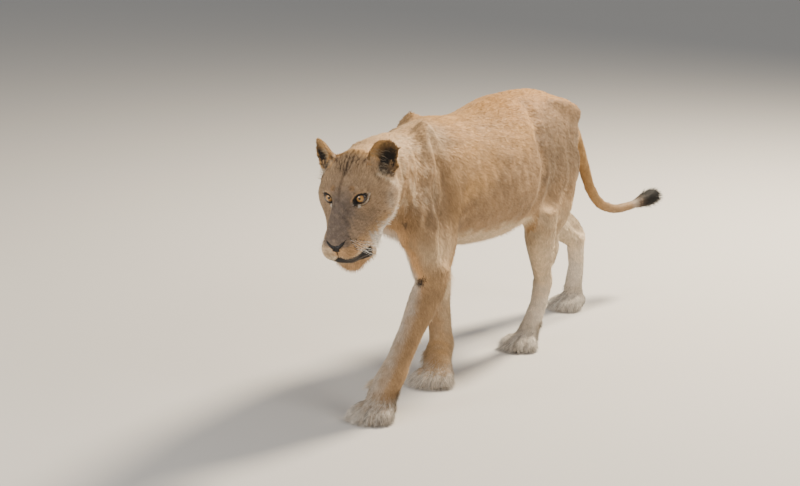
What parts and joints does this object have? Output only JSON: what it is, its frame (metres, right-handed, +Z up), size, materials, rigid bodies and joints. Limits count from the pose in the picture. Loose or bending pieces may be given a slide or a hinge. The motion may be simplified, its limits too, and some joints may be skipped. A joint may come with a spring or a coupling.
{
  "type": "lioness model",
  "caption": "Life-size standing model of a walking lioness, head lowered and turned to her left, tail curved behind, short coat.",
  "frame": {"origin": "middle of the bounding box, on the floor under the paws", "axes": "+Z up; the lioness faces -Y, so +Y runs from nose to tail, and +X is her left side"},
  "size_m": [0.4512, 2.2476, 0.9071],
  "materials": {
    "coat": "short dense fur lying flat, sandy, pale below",
    "nose_pad": "moist, finely pebbled",
    "eye": "amber, wet"
  },
  "bodies": {
    "root": {"trunk": "coat", "neck": "coat", "head": "coat", "ear_left": "coat", "ear_right": "coat", "foreleg_left": "coat", "foreleg_right": "coat", "hindleg_left": "coat", "hindleg_right": "coat", "tail_root": "coat", "tail_end": "coat", "nose": "nose_pad", "eye_left": "eye", "eye_right": "eye"}
  },
  "joints": []
}
